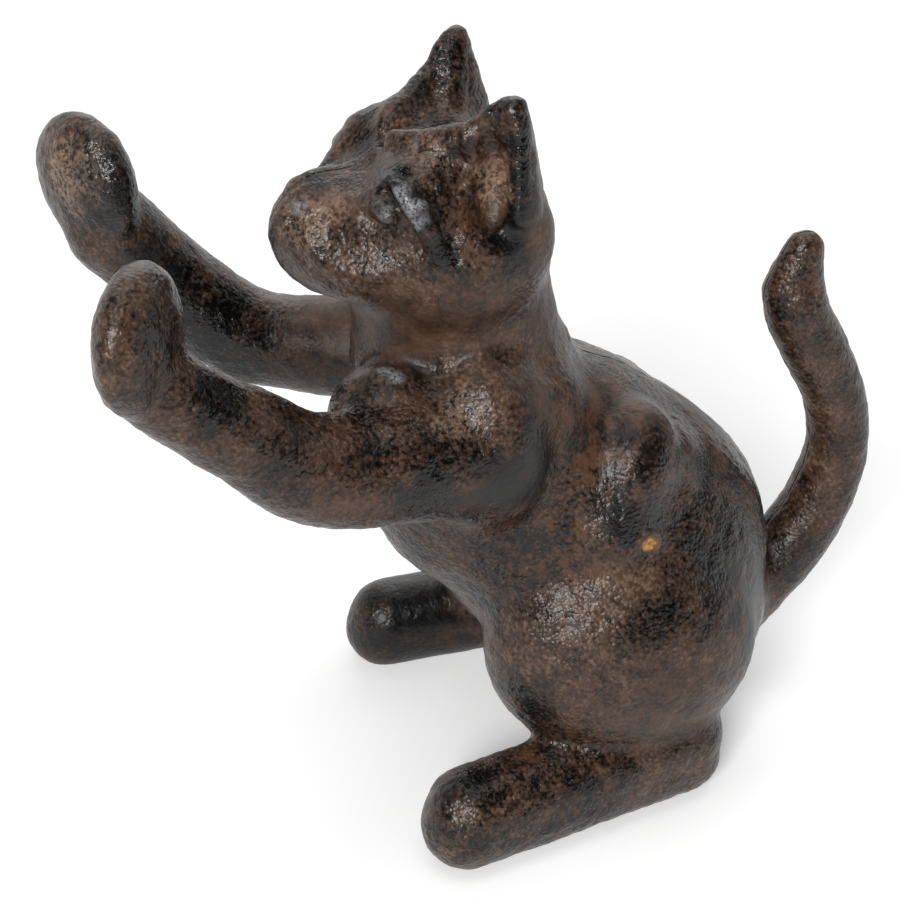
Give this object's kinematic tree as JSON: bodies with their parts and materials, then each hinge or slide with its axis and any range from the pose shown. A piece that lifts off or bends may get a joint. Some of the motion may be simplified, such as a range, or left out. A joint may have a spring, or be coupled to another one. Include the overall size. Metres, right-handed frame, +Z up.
{
  "type": "cast iron doorstop",
  "caption": "Cast iron doorstop in the form of a cat that sits on its haunches and reaches up with its forepaws, tail curling up behind; hollow halves drawn together by a slotted screw.",
  "frame": {"origin": "on the floor under the middle of the overall box, between the two feet", "axes": "+Z up, -Y is the way the cat faces, +X is the cat's left"},
  "size_m": [0.0898, 0.1694, 0.1614],
  "materials": {
    "patinated_iron": "rust-brown patina with black blotches, pitted, waxed to a half shine",
    "screw_steel": "aged steel with a brassy tint"
  },
  "bodies": {
    "root": {"left_casting": "patinated_iron", "right_casting": "patinated_iron", "clamp_screw": "screw_steel"}
  },
  "joints": []
}
